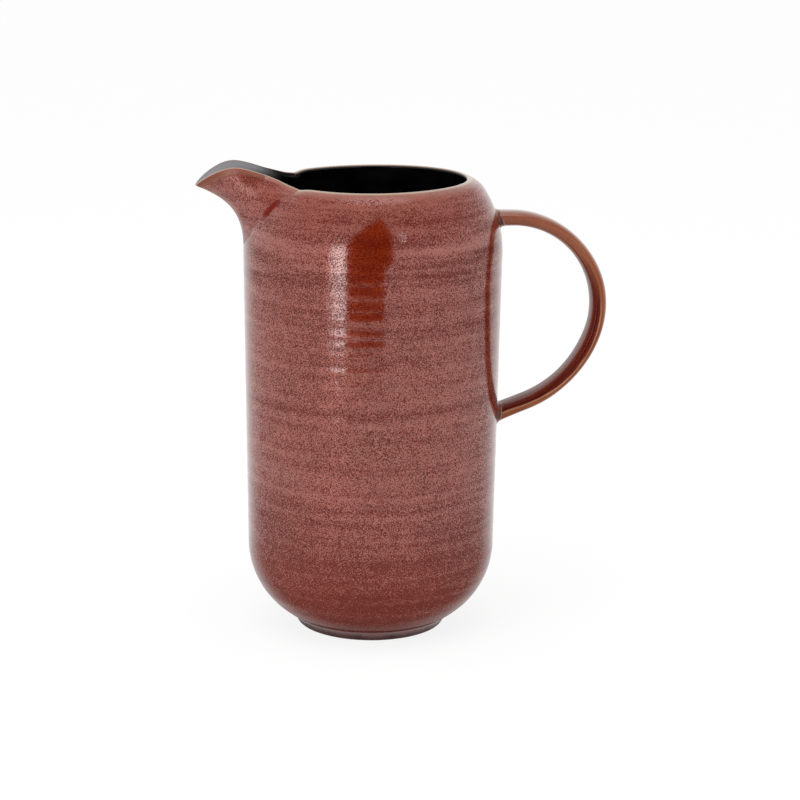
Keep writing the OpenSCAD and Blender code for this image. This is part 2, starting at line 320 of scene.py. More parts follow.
def rings(turn, z):
    """Throwing rings, from about -1 in a groove to 1 on a ridge. They wander and fade round the jug."""
    draw = np.random.default_rng(11)
    a = np.radians(turn)
    tone = np.zeros(np.broadcast(turn, z).shape)
    for length, share in WAVES:
        phase, lag = draw.uniform(0, 2 * math.pi, 2)
        drift = 0.5 * np.sin(a + lag) + 0.35 * np.sin(2 * a + phase)
        fade = 0.7 + 0.3 * np.sin(a * draw.integers(1, 4) + lag)
        tone += share * fade * np.sin(2 * math.pi * (z + drift) / length + phase + 0.05 * z)
    for height, width, depth in GROOVES:
        phase, lag = draw.uniform(0, 2 * math.pi, 2)
        drift = 0.5 * np.sin(a + phase) + 0.3 * np.sin(3 * a + lag)
        fade = 0.75 + 0.25 * np.sin(2 * a + lag)
        tone -= depth * fade * hump(z + drift, height, width)
        tone += 0.45 * depth * fade * hump(z + drift, height + 2.1 * width, width)
    return tone


# The dark pool of glaze in the crease beside the spout, on both sides
POOL_HIGH = np.array([-44.6, 25.4, 205.3])
POOL_LOW = np.array([-50.0, 23.2, 200.6])
POOL_R = 2.3


def pool_at(points):
    """How much glaze has pooled at each point, from 0 to 1."""
    at = points * [1, -1, 1]
    span = POOL_LOW - POOL_HIGH
    both = []
    for p in (at, at * [1, -1, 1]):
        share = np.clip((p - POOL_HIGH) @ span / (span @ span), 0, 1)
        away = np.linalg.norm(p - POOL_HIGH - share[..., None] * span, axis=-1)
        both.append(1 - smoothstep(0.5 * POOL_R, 1.3 * POOL_R, away))
    return np.maximum(both[0], 0.8 * both[1])


def between(table, at, odd=False):
    """Smooth curve through a table of stations, which is mirrored about the first one."""
    table = np.asarray(table, float)
    sign = -1 if odd else 1
    full = np.concatenate([sign * table[:0:-1], table])
    last = len(table) - 1
    slope = np.gradient(full)
    where = np.clip(at + last, 0, len(full) - 1 - 1e-9)
    i = where.astype(int)
    t = where - i
    p, q, m, n = full[i], full[i + 1], slope[i], slope[i + 1]
    return (
        p * (1 + 2 * t) * (1 - t) ** 2
        + m * t * (1 - t) ** 2
        + q * t * t * (3 - 2 * t)
        + n * t * t * (t - 1)
    )


def bezier(a, b, c, d, t):
    return a * (1 - t) ** 3 + 3 * b * t * (1 - t) ** 2 + 3 * c * t * t * (1 - t) + d * t**3


def bow(a, b, c, t):
    """Point of a curve from a to c that bends toward b."""
    return (1 - t) ** 2 * a + 2 * t * (1 - t) * b + t * t * c


tip_u = WALL_TOP_R + SPOUT_OUT
kink_u, kink_v = (MOUTH_R + KINK_T / 2) * aim(SPOUT_SPREAD)
sink_u, sink_v = (MOUTH_R + KINK_T / 2) * aim(SPOUT_SPREAD + SINK_TURN)
lip_us = [kink_u + (tip_u - kink_u) * share for share in LIP_OUT] + [sink_u]
lip_vs = [SPOUT_W / 2 * w + (kink_v - SPOUT_W / 2) * f for w, f in zip(LIP_WIDTH, LIP_FLARE)] + [sink_v]
lip_zs = [RIM_Z + SPOUT_RISE * share for share in LIP_RISE] + [RIM_Z - RIM_DIP - SINK_DEPTH]
foot_turns = [SPOUT_SPREAD * share for share in FOOT_TURN] + [SPOUT_SPREAD + SINK_TURN]
foot_zs = [RIM_Z - SPOUT_DROP * share for share in FOOT_DROP] + [RIM_Z - SINK_FOOT_DROP]
last_station = len(LIP_OUT)


def side_of(turn):
    """Turn from the spout's middle to either side."""
    return np.minimum(turn, 360 - turn)


def spout_foot_z(turn):
    """Height of the spout's foot on the body at a turn from its middle."""
    station = np.linspace(0, last_station - 1, 400)
    return np.interp(turn, between(foot_turns, station, odd=True), between(foot_zs, station))


# Rows and columns of the meshes
BODY_COLUMNS = 400
BOTTOM_ROWS = 9
WALL_ROWS = 230
SHOULDER_ROWS = 70
LIP_ROWS = 12
INSIDE_TOP_ROWS = 26
INSIDE_LOW_ROWS = 40
LINER_LOW_ROWS = 44
SPOUT_COLUMNS = 241
OUTER_RIB_ROWS = 34
INNER_RIB_ROWS = 30
EDGE_ROWS = 11
STRAP_ROWS = 240
STRAP_SIDES = 56
STRAP_TURN = np.linspace(0, 2 * math.pi, STRAP_SIDES, endpoint=False)
COLLAR_ROWS = 9
FOOT_COLUMNS = 300
HOLLOW_ROWS = 9

# Heights where level rows end and rows that follow the cut behind the spout begin
OUTSIDE_SPLIT_Z = RIM_Z - SPOUT_DROP - 8
INSIDE_SPLIT_Z = SHOULDER_Z - 14

# The rim is open behind the spout up to the first turn, and whole from the second
OPEN_FULL_TURN = 33.6
OPEN_END_TURN = 35.2


def open_share(turn):
    """1 where the rim is whole and 0 behind the spout."""
    return smoothstep(OPEN_FULL_TURN, OPEN_END_TURN, side_of(turn))


def kink_dip(side, z):
    """How far the rim and the shoulder below it dip at the kinks."""
    return RIM_DIP * hump(side, SPOUT_SPREAD - 0.5, RIM_DIP_TURN) * smoothstep(RIM_Z - 14, RIM_Z - 3, z)


def rim_drop(turn, z):
    """How far the body's rim dips at the kinks and behind the spout."""
    side = side_of(turn)
    behind = 1 - smoothstep(SPOUT_SPREAD - 2, SPOUT_SPREAD + 0.4, side)
    lift = RIM_LIFT * smoothstep(60, 160, side) * smoothstep(RIM_Z - 18, RIM_Z - 3, z)
    return kink_dip(side, z) + BEHIND_DIP * behind * smoothstep(RIM_Z - 2.4, RIM_Z - 0.8, z) - lift


def rim_rows(path, turn, rows, fixed_z, cut):
    """Lengths along a path for a grid whose upper edge is cut to a height where the rim is open."""
    whole = open_share(turn)
    rim = 0.0 if path.points[0, 1] > path.points[-1, 1] else path.length
    end = whole * rim + (1 - whole) * path.at_height(cut)
    fixed = path.at_height(fixed_z)
    share = np.linspace(0, 1, rows)[:, None]
    return fixed + (end - fixed) * share


def inside_grid(path, turn, cut, low_rows):
    """Points of the inside, from the rim or its cut edge down to the floor."""
    upper = rim_rows(path, turn, INSIDE_TOP_ROWS, INSIDE_SPLIT_Z, cut)[::-1]
    lower = np.linspace(path.at_height(INSIDE_SPLIT_Z), path.length, low_rows)[1:, None] + 0 * turn
    return path.point(np.concatenate([upper, lower]))


def make_body(material):
    """Bottom, outside, lip and inside in one closed skin, cut open behind the spout."""
    turn = full_turn(BODY_COLUMNS)
    side = side_of(turn)
    cut = spout_foot_z(side) + FOOT_LAP
    low = np.linspace(0, outside.at_height(OUTSIDE_SPLIT_Z), WALL_ROWS)[:-1, None] + 0 * turn
    at = np.concatenate([low, rim_rows(outside, turn, SHOULDER_ROWS, OUTSIDE_SPLIT_Z, cut)])
    outer = outside.point(at)
    z = outer[..., 1]
    # The rings fade out toward the foot and toward the rim
    fade = smoothstep(FOOT_H + 1, FOOT_H + 6, z) * (1 - smoothstep(RIM_Z - 7, RIM_Z - 2, z))
    tone = rings(turn, z) * fade
    outer = outer + (RING_DEPTH * tone)[..., None] * outside.normal(at)
    inner = inside_grid(inside(0), turn, cut, INSIDE_LOW_ROWS)
    whole = open_share(turn)[:, None]
    lip = []
    for share in np.linspace(0, 1, LIP_ROWS)[1:-1]:
        curve = lip_c + LIP_R * aim(lip_out + (180 - lip_out) * share)
        flat = outer[-1] + (inner[0] - outer[-1]) * share
        lip.append(whole * curve + (1 - whole) * flat)
    bottom = np.linspace(1.0, crease_r, BOTTOM_ROWS)[:-1, None] + 0 * turn
    bottom = np.stack([bottom, np.full_like(bottom, FOOT_H)], -1)
    profile = np.concatenate([bottom, outer, np.array(lip), inner])
    drop = np.hypot(profile[..., 0] - lip_c[0], profile[..., 1] - lip_c[1]) - LIP_R
    profile[..., 1] -= rim_drop(turn, profile[..., 1])
    radius, z = profile[..., 0], profile[..., 1]
    points = place(radius, turn, z)
    outer_end = len(bottom) + len(outer)
    outer_side = np.arange(len(points))[:, None] < outer_end
    tones = np.zeros_like(z)
    tones[len(bottom) : outer_end] = tone
    crest = np.where(outer_side, 1 - smoothstep(0.0, CREST_W, drop), 1.0)
    wander = 0.8 * np.sin(np.radians(3 * turn) + 1) + 0.5 * np.sin(np.radians(7 * turn))
    black = smoothstep(-0.5, -1.3, radius - MOUTH_R) + (z < RIM_Z - 3)
    values = {
        "ring": tones,
        "crest": crest * smoothstep(SPOUT_SPREAD - 2, SPOUT_SPREAD + 2.5, side),
        "rust": np.where(outer_side, 1 - smoothstep(1.2, 4.6 + wander, drop), 0),
        "pool": pool_at(points),
        "black": np.where(outer_side, 0, np.clip(black, 0, 1)),
    }
    faces = flipped(tube_faces(len(points), BODY_COLUMNS))
    return add_piece("jug_body", points, faces, material, "body", values)


def make_liner(material):
    """Thin closed coat over the inside, which thins out to nothing at the lip."""
    turn = full_turn(BODY_COLUMNS // 2)
    cut = spout_foot_z(side_of(turn)) + FOOT_LAP
    under, coat = (inside_grid(inside(t), turn, cut, LINER_LOW_ROWS) for t in (SKIN_GAP, LINER_T))
    thin = smoothstep(0, 9, np.arange(len(coat)))[:, None, None]
    coat = under + (coat - under) * (0.1 + 0.9 * thin)
    profile = np.concatenate([under[::-1], coat])
    profile[..., 1] -= rim_drop(turn, profile[..., 1])
    points = place(profile[..., 0], turn, profile[..., 1])
    faces = flipped(tube_faces(*points.shape[:2]))
    return add_piece("liner", points, faces, material, "liner_glaze", sharp=60)


def wall_frame(path, turn, z, outward):
    """Point, direction up the wall and direction away from it, on the outside or the inside."""
    at = path.at_height(z)
    point = path.point(at)
    up = path.way(at) * (1 if outward else -1)
    off = np.stack([up[..., 1], -up[..., 0]], -1)
    return [place(v[..., 0], turn, v[..., 1]) for v in (point, up, off)]


def make_spout(material):
    """Pulled beak: outer ribs, a rounded edge, inner ribs and a foot inside the wall."""
    station = np.linspace(-last_station, last_station, SPOUT_COLUMNS)
    # Fades by side are in stations, from 0 at the tip to 11 at the kink in the rim
    side = np.abs(station)
    u = between(lip_us, station)
    v = between(lip_vs, station, odd=True)
    edge = np.stack([-u, -v, between(lip_zs, station)], -1)
    du, dv = np.gradient(u, station), np.gradient(v, station)
    away = unit(np.stack([-dv, du, 0 * du], -1))
    lean = np.radians(TIP_LEAN * between([*LIP_LEAN, 0], station))
    rise = np.stack([-np.sin(lean), 0 * lean, np.cos(lean)], -1)
    sink = smoothstep(last_station - 1, last_station, side)[:, None]
    sunk = SKIN_GAP - 0.35 * smoothstep(8, 10.5, side)[:, None] - 0.3 * sink
    thick = between([TIP_T, *[SPOUT_EDGE_T] * 9, NEAR_KINK_T, KINK_T, KINK_T], station)[:, None]
    turn = between(foot_turns, station, odd=True)
    foot_z = between(foot_zs, station)

    def ribs(path, outward, lift, root_lean, end, end_way, steps):
        """Rows of points from the wall to the edge."""
        from_wall, up, off = wall_frame(path, turn, foot_z, outward)
        start = from_wall + lift * off
        start[:, 2] -= kink_dip(np.abs(turn), foot_z)
        reach = np.linalg.norm(end - start, axis=-1, keepdims=True)
        lean_at_wall = np.radians(root_lean)[:, None]
        way = np.cos(lean_at_wall) * up + np.sin(lean_at_wall) * off
        first = start + RIB_ROOT_SHARE * reach * way
        second = end - RIB_LIP_SHARE * reach * end_way
        return np.array([bezier(start, first, second, end, t) for t in np.linspace(0, 1, steps)])

    round_r = thick / 2
    inward = unit((away * rise).sum(-1, keepdims=True) * rise - away)
    beside = smoothstep(0.3, 2.5, side)[:, None]
    crown = edge + beside * round_r * inward - round_r * rise
    outer_lean = 4 - 2 * smoothstep(3, 9, side)
    rim_way = wall_frame(outside, turn, np.full_like(foot_z, RIM_Z - 0.3), True)[1]
    near_kink = (np.minimum(side / (last_station - 1), 1) ** 6)[:, None]
    outer_way = unit((1 - near_kink) * rise + near_kink * rim_way)
    outer_end = crown - round_r * inward
    outer = ribs(outside, True, sunk, outer_lean, outer_end, outer_way, OUTER_RIB_ROWS)
    inner_lean = 14 - 10 * smoothstep(6, 11, side)
    flare = np.radians(INNER_FLARE) * beside * (1 - smoothstep(8, 11, side))[:, None]
    inner_way = np.cos(flare) * rise - np.sin(flare) * inward
    inner_end = crown + round_r * inward
    inner_lift = SKIN_GAP - 0.5 * sink
    inner = ribs(inside(LINER_T), False, inner_lift, inner_lean, inner_end, inner_way, INNER_RIB_ROWS)
    turns = np.radians(np.linspace(0, 180, EDGE_ROWS)[1:-1])
    round_edge = np.array([crown + round_r * (np.sin(a) * rise - np.cos(a) * inward) for a in turns])
    base = np.array([inner[0] + (outer[0] - inner[0]) * share for share in (0.33, 0.67)])
    loop = np.concatenate([outer, round_edge, inner[::-1], base])
    rows, columns = loop.shape[:2]
    faces = grid_faces(rows, columns, close_rows=True, close_columns=False)
    faces.append(tuple(i * columns for i in range(rows)))
    faces.append(tuple(i * columns + columns - 1 for i in range(rows))[::-1])
    below = np.linalg.norm(loop - outer[-1], axis=-1)
    into = np.linalg.norm(loop - inner[-1], axis=-1)
    order = np.arange(rows)[:, None] - len(outer)
    is_outer = order < 0
    is_round = (order >= 0) & (order < len(round_edge))
    from_top = np.abs(order - (len(round_edge) - 1) / 2)
    crest_rows = 3.0 - 1.2 * smoothstep(7, 11, side)
    crest = is_round * (1 - smoothstep(crest_rows, crest_rows + 1.5, from_top))
    tipward = 1 - smoothstep(4, 10, side)
    rust = np.where(is_outer, 1 - smoothstep(0.6, 1.8 + 2.4 * tipward, below), is_round * 1.0)
    black = smoothstep(5.5, 8.5, order) * np.ones_like(below)
    # Painted reflection: the black inside the lips is painted grey near the edge, standing in for the
    # sky's sheen on the glaze
    painted_sheen = (1 - smoothstep(3.0, 9.0, into)) * (1 - smoothstep(6.5, 9.5, side))
    values = {
        "ring": np.zeros_like(below),
        "crest": 0.8 * crest * (1 - black),
        "rust": rust * (1 - black),
        "tip": np.where(is_outer, rust * (1 - smoothstep(3.0, 5.5, side)), 0),
        "pool": np.where(is_outer, pool_at(loop), 0),
        "black": black,
        "painted_sheen": painted_sheen * black,
    }
    return add_piece("spout_beak", loop, faces, material, "spout", values, sharp=50)


# Middle line of the handle, as [distance out, height], with its heading below level
handle_z = RIM_Z - HANDLE_DROP
bend_mid = np.array([WALL_TOP_R + HANDLE_RUN, handle_z - HANDLE_BEND_R])
bend_low = 90 - HANDLE_BEND_TURN
sweep_mid = bend_mid + (HANDLE_BEND_R - HANDLE_SWEEP_R) * aim(bend_low)
sweep_low = bend_low - HANDLE_SWEEP_TURN
tail_top = sweep_mid + HANDLE_SWEEP_R * aim(sweep_low)
tail_heading = 90 - sweep_low
tail_way = aim(tail_heading) * [1, -1]
# How deep the ends of the strap sit in the wall
ROOT_DEPTH = 2.5


def wall_x(z):
    return outside.point(outside.at_height(z))[..., 0]


def tail_reach():
    """Distance from the end of the lower sweep to the wall along the tail."""
    reach = np.linspace(0, 60, 1201)
    at = tail_top + reach[:, None] * tail_way
    return reach[np.argmax(at[:, 0] < wall_x(at[:, 1]))]


tail_wall = tail_reach()
root_wall = wall_x(np.array(handle_z))
strap_line = Path(
    np.array([[root_wall - ROOT_DEPTH, handle_z]]),
    arc(bend_mid, HANDLE_BEND_R, 90, bend_low),
    arc(sweep_mid, HANDLE_SWEEP_R, bend_low, sweep_low),
    np.array([tail_top + tail_way * (tail_wall + ROOT_DEPTH)]),
)


def strap_ring(middle, level, grow=0.0):
    """Flattened oval rings of the strap: middle points, direction along it and added thickness."""
    near = np.clip(1 - (middle[..., 0] - WALL_TOP_R) / SWELL_RUN, 0, 1)
    size = (1 + ROOT_SWELL_SHARE * near**2)[..., None]
    power = 2 / SECTION_POWER
    over = np.sign(np.cos(STRAP_TURN)) * np.abs(np.cos(STRAP_TURN)) ** power
    across = np.sign(np.sin(STRAP_TURN)) * np.abs(np.sin(STRAP_TURN)) ** power
    low = (handle_z - middle[..., 1]) / (handle_z - tail_top[1])
    strap_t = HANDLE_T + HANDLE_GAIN * smoothstep(0.03, 0.45, low) - HANDLE_LOSS * smoothstep(0.5, 1, low)
    thick = (size * strap_t[..., None] / 2 + grow) * over
    x = middle[..., 0, None] - thick * level[..., 1, None]
    z = middle[..., 1, None] + thick * level[..., 0, None]
    y = -(size * HANDLE_W / 2 + grow) * across
    return np.stack([x, y, z], -1)


def make_handle(material):
    """Pulled strap with a slight unevenness, as one closed tube."""
    at = np.linspace(0, strap_line.length, STRAP_ROWS)
    along = at[:, None]
    points = strap_ring(strap_line.point(at), strap_line.way(at))
    # The pull left the strap uneven by about a tenth of a millimetre
    wobble = 0.07 * np.sin(along / 9) * np.cos(STRAP_TURN)
    wobble = wobble + 0.05 * np.sin(along / 5 + 1) * np.sin(2 * STRAP_TURN)
    points = points + wobble[..., None] * unit(points - points.mean(1, keepdims=True))
    step = np.linalg.norm(np.diff(points, axis=1, append=points[:, :1]), axis=-1)
    around = np.cumsum(step, 1) - step
    zeros = np.zeros_like(around)
    over = np.cos(STRAP_TURN) + zeros
    values = {
        "over": over,
        "side": np.abs(np.sin(STRAP_TURN)) + zeros,
        "along": along / strap_line.length + zeros,
    }
    vectors = {"strap": np.stack([along + zeros, around, over], -1)}
    faces = tube_faces(STRAP_ROWS, STRAP_SIDES)
    return add_piece("handle_strap", points, faces, material, "handle", values, vectors)


# Reach of the search for the wall to either side, and how often it is halved
WALL_SEARCH = 14.0
HALVINGS = 40


def to_wall(points, way):
    """Moves points along a direction until they meet the outside of the body."""
    low = np.full(points.shape[:-1], -WALL_SEARCH)
    high = np.full(points.shape[:-1], WALL_SEARCH)
    for _ in range(HALVINGS):
        mid = (low + high) / 2
        at = points + mid[..., None] * way
        out = np.hypot(at[..., 0], at[..., 1]) > wall_x(at[..., 2])
        low = np.where(out, mid, low)
        high = np.where(out, high, mid)
    return points + ((low + high) / 2)[..., None] * way


def make_fillet(name, node, wall_point, along, at_start, material):
    """Hollow collar of slip round the strap, where it leaves the wall or runs into it."""
    into = -along if at_start else along
    way = np.array([into[0], 0, into[1]])
    middle, level = np.array([wall_point]), np.array([along])
    base = strap_ring(middle, level)[0]
    foot_ring = to_wall(strap_ring(middle, level, FILLET_W)[0], way)
    root_ring = to_wall(base, way)
    uneven = (1 + 0.12 * np.sin(3 * STRAP_TURN + 1) + 0.08 * np.sin(5 * STRAP_TURN))[:, None]
    top_ring = root_ring - FILLET_H * uneven * way
    reach = np.linspace(0, 1, COLLAR_ROWS)
    loop = [bow(foot_ring + 0.12 * way, root_ring - 0.3 * way, top_ring, t) for t in reach]
    centre = base.mean(0)
    for ring in (top_ring, root_ring + 1.2 * way):
        flat = ring - ((ring - centre) @ way)[:, None] * way - centre
        loop.append(ring - 0.12 * flat)
    loop.append(foot_ring + 1.0 * way)
    points = np.array(loop)
    faces = grid_faces(len(points), STRAP_SIDES, close_rows=True)
    faces = faces if at_start else flipped(faces)
    collar = np.concatenate([reach, [1, 0.5, 0]])[:, None] + 0 * STRAP_TURN
    values = {"collar": collar, "around": np.sin(STRAP_TURN) + 0 * collar}
    return add_piece(name, points, faces, material, node, values, sharp=70)


def make_foot(material):
    """Turned ring, slightly worn, with a soft hollow up to the wall."""
    foot_r = crease_r - FOOT_INSET + FOOT_FLARE
    bore_r = foot_r - FOOT_W
    top = outside.point(CREASE_LAP) + 0.03 * outside.normal(CREASE_LAP)
    corner = np.array([foot_r, FOOT_H + 0.5])
    low = np.array([foot_r, FOOT_ROUND])
    outline = np.concatenate([
        bow(top, corner, low, np.linspace(0, 1, HOLLOW_ROWS)[:, None]),
        arc(np.array([foot_r - FOOT_ROUND, FOOT_ROUND]), FOOT_ROUND, 0, -90, 0.5),
        arc(np.array([bore_r + FOOT_INNER_ROUND, FOOT_INNER_ROUND]), FOOT_INNER_ROUND, -90, -180, 0.4),
        [[bore_r, FOOT_H + 0.4]],
    ])
    radius, z = outline[:, 0, None], outline[:, 1, None]
    turn = full_turn(FOOT_COLUMNS)
    a = np.radians(turn)
    wear = 0.05 * np.sin(5 * a + 0.4) + 0.04 * np.sin(13 * a)
    points = place(radius + wear * (z > 0.2) * (z < FOOT_H), turn, z + 0 * turn)
    faces = grid_faces(len(outline), FOOT_COLUMNS, close_rows=True)
    return add_piece("foot", points, faces, material, "foot_ring", sharp=50)


def put(tree, socket, value):
    """Links a socket to another node's output, or sets its value."""
    if isinstance(value, bpy.types.NodeSocket):
        tree.links.new(value, socket)
    else:
        socket.default_value = value


def calculate(tree, operation, *values):
    made = tree.nodes.new("ShaderNodeMath")
    made.operation = operation
    for socket, value in zip(made.inputs, values):
        put(tree, socket, value)
    return made.outputs[0]


def map_range(tree, value, from_ends=(0.0, 1.0), to_ends=(0.0, 1.0), kind="LINEAR"):
    """A value moved from one range to another, and held at its ends."""
    made = tree.nodes.new("ShaderNodeMapRange")
    made.interpolation_type = kind
    for socket, number in zip(made.inputs, (value, *from_ends, *to_ends)):
        put(tree, socket, number)
    return made.outputs[0]


class Shade:
    """A material whose node tree is written as formulas."""

    def __init__(self, name):
        self.material = bpy.data.materials.new(name)
        self.material.use_nodes = True
        self.tree = self.material.node_tree
        self.shader = self.tree.nodes["Principled BSDF"]
        self.place = self.node("ShaderNodeTexCoord").outputs["Object"]

    def node(self, kind, **settings):
        made = self.tree.nodes.new(kind)
        for key, value in settings.items():
            setattr(made, key, value)
        return made

    def put(self, socket, value):
        put(self.tree, socket, value)

    def set(self, **inputs):
        for key, value in inputs.items():
            self.put(self.shader.inputs[key.replace("_", " ")], value)

    def math(self, operation, *values):
        return calculate(self.tree, operation, *values)

    def product(self, first, *others):
        for value in others:
            first = self.math("MULTIPLY", first, value)
        return first

    def largest(self, first, *others):
        for value in others:
            first = self.math("MAXIMUM", first, value)
        return first

    def centred(self, noise):
        return self.math("SUBTRACT", noise, 0.5)

    def total(self, start, *terms):
        """A start value plus (value, weight) terms."""
        for value, weight in terms:
            start = self.math("MULTIPLY_ADD", value, weight, start)
        return start

    def ramp(self, value, low, high, to_low=0.0, to_high=1.0):
        return map_range(self.tree, value, (low, high), (to_low, to_high), "SMOOTHSTEP")

    def mix(self, share, a, b):
        made = self.node("ShaderNodeMix", data_type="RGBA")
        self.put(made.inputs[0], share)
        for socket, value in ((made.inputs[6], a), (made.inputs[7], b)):
            self.put(socket, (*value, 1.0) if isinstance(value, tuple) else value)
        return made.outputs[2]

    def stretched(self, vector, *scale):
        made = self.node("ShaderNodeMapping")
        made.inputs["Scale"].default_value = scale
        self.put(made.inputs["Vector"], vector)
        return made.outputs[0]

    def noise(self, scale, detail=2.0, roughness=0.5, vector=None):
        made = self.node("ShaderNodeTexNoise")
        self.put(made.inputs["Vector"], vector or self.place)
        self.put(made.inputs["Scale"], scale)
        self.put(made.inputs["Detail"], detail)
        self.put(made.inputs["Roughness"], roughness)
        return made.outputs["Fac"]

    def attribute(self, name, output="Fac"):
        return self.node("ShaderNodeAttribute", attribute_name=name).outputs[output]

    def height(self):
        """Height over the table, in metres."""
        split = self.node("ShaderNodeSeparateXYZ")
        self.put(split.inputs[0], self.place)
        return split.outputs[2]

    def bump(self, height, depth_mm, normal=None):
        made = self.node("ShaderNodeBump")
        made.inputs["Distance"].default_value = depth_mm * MM
        self.put(made.inputs["Height"], height)
        if normal is not None:
            self.put(made.inputs["Normal"], normal)
        return made.outputs[0]

    def coat(self, roughness, ior, weight, normal=None):
        self.set(Coat_Weight=weight, Coat_Roughness=roughness, Coat_IOR=ior)
        if normal is not None:
            self.set(Coat_Normal=normal)


# Colours are linear
DEEP_RED = (0.125, 0.007, 0.002)
PLUM = (0.105, 0.008, 0.003)
TAN_FLECK = (0.3, 0.032, 0.003)
PINK_FLECK = (0.285, 0.031, 0.005)
RUST = (0.3, 0.085, 0.035)
TIP_RUST = (0.19, 0.045, 0.01)
CREST_TAN = (0.45, 0.31, 0.22)
POOL_RED = (0.155, 0.01, 0.004)
LOW_RED = (0.16, 0.02, 0.009)
LINER_BLACK = (0.002, 0.002, 0.0022)
LINER_GREY = (0.007, 0.007, 0.008)
# Grey of the painted reflection inside the spout's lips
PAINTED_SHEEN_GREY = (0.265, 0.257, 0.27)
STRAP_RUST = (0.235, 0.06, 0.02)
STRAP_TAN = (0.31, 0.1, 0.042)
STRAP_BROWN = (0.2, 0.04, 0.02)
STRAP_DARK = (0.08, 0.007, 0.003)
STRAP_RED = (0.11, 0.011, 0.005)
# Pale edge line of the strap: thin glaze over the edge, and a painted highlight
STRAP_EDGE_BREAK_AND_HIGHLIGHT = (0.46, 0.24, 0.14)
# Pale of the painted reflection on the strap's inner face
PAINTED_STRAP_INNER_SHEEN = (0.2, 0.05, 0.032)
COLLAR_DARK = (0.14, 0.022, 0.01)
COLLAR_RED = (0.24, 0.06, 0.028)
COLLAR_SPOT = (0.02, 0.012, 0.012)
COLLAR_EDGE = (0.42, 0.24, 0.17)
FOOT_DARK = (0.055, 0.015, 0.012)
FOOT_BROWN = (0.08, 0.022, 0.017)
FOOT_GLAZE = (0.15, 0.016, 0.007)
GRIT_PALE = (0.2, 0.09, 0.065)
GRIT_DARK = (0.04, 0.014, 0.011)

# Sizes of the glaze's crystals, on the body and on the strap
FLECK_SIZE_MM = 0.52
STRAP_FLECK_SIZE_MM = 0.8
# Values of the crystal field between which glass turns to crystal
FLECK_EDGE = (0.438, 0.562)
# Heights in metres: where the glaze reddens downward, where streaks grow upward, where the foot is glazed
LOW_HEIGHTS = (0.08, 0.004)
STREAK_HEIGHTS = (0.15, 0.19)
FOOT_GLAZE_HEIGHTS = (0.0026, 0.0046)
# Refraction of the clear skins
GLAZE_COAT_IOR = 2.08
STRAP_COAT_IOR = 2.1
COLLAR_COAT_IOR = 1.4
FOOT_COAT_IOR = 1.83


def red_glaze(name, coat_roughness, fleck_metal, high_streaks):
    """Dark red glass full of tan crystals, thin and rusty at edges, under a smooth clear skin."""
    s = Shade(name)
    ring, crest, rust, pool = (s.attribute(key) for key in ("ring", "crest", "rust", "pool"))
    black, painted_sheen, tip = (s.attribute(key) for key in ("black", "painted_sheen", "tip"))
    height = s.height()
    low = s.ramp(height, *LOW_HEIGHTS)
    # Crystals, their clumps, wide clouds, and the streaks and lines that the wheel left
    grain = s.noise(1 / (FLECK_SIZE_MM * MM), 2.0, 0.65)
    clump = s.noise(210, 3.0, 0.6)
    cloud = s.noise(26, 3.0, 0.55)
    streak = s.noise(1.0, 3.0, 0.6, s.stretched(s.place, 14, 14, 190))
    line = s.noise(1.0, 1.0, 0.5, s.stretched(s.place, 6, 6, 480))
    field = s.total(
        grain,
        (s.centred(clump), 0.1),
        (s.centred(cloud), 0.06),
        (s.centred(streak), s.ramp(height, *STREAK_HEIGHTS, 0.12, high_streaks)),
        (s.centred(line), 0.1),
        (ring, 0.03),
        (low, -0.11),
        (rust, -0.05),
        (pool, -0.3),
    )
    fleck = s.ramp(field, *FLECK_EDGE)
    crystal = s.mix(s.ramp(clump, 0.4, 0.6), PINK_FLECK, TAN_FLECK)
    glass = s.mix(s.ramp(cloud, 0.38, 0.62), PLUM, DEEP_RED)
    glass = s.mix(s.product(low, 0.75), glass, LOW_RED)
    glass = s.mix(s.ramp(pool, 0.0, 0.6), glass, POOL_RED)
    glass = s.mix(s.product(rust, s.ramp(clump, 0.3, 0.55, 0.45, 0.9)), glass, RUST)
    colour = s.mix(fleck, glass, crystal)
    colour = s.mix(tip, colour, TIP_RUST)
    colour = s.mix(crest, colour, CREST_TAN)
    # Black inside, painted grey near the spout's lips as a painted reflection of the sky
    colour = s.mix(black, colour, s.mix(painted_sheen, LINER_BLACK, PAINTED_SHEEN_GREY))
    speckled = s.math("SUBTRACT", 1.0, s.largest(black, crest, tip))
    metal = s.product(fleck, fleck_metal, speckled)
    s.set(Base_Color=colour, Metallic=metal, Roughness=s.ramp(fleck, 0.0, 1.0, 0.35, 0.3))
    skin = s.bump(s.noise(420, 2.0, 0.5), 0.03)
    s.set(Specular_IOR_Level=0.0, Normal=s.bump(grain, 0.035, skin))
    # The clear skin is weak between the crystals, at the tip and inside. It also weakens low on the wall
    # and near the table as painted shade: the gloss dims where the floor beside the foot lies in shadow.
    facing = s.node("ShaderNodeLayerWeight").outputs["Facing"]
    clear = s.ramp(s.largest(fleck, crest, rust), 0.0, 1.0, 0.2, 1.0)
    clear = s.product(
        s.largest(clear, s.ramp(facing, 0.45, 0.85)),
        s.ramp(low, 0.3, 1.0, 1.0, 0.6),
        s.ramp(height, 0.016, 0.006, 1.0, 0.4),
        s.ramp(tip, 0.0, 1.0, 1.0, 0.35),
    )
    # The clear skin inside is weak, and a little stronger under the painted reflection
    in_black = s.math("MULTIPLY_ADD", painted_sheen, 0.3, 0.12)
    inside_share = s.math("MULTIPLY_ADD", black, s.math("SUBTRACT", in_black, 1.0), 1.0)
    s.coat(coat_roughness, GLAZE_COAT_IOR, s.product(clear, inside_share), skin)
    return s.material


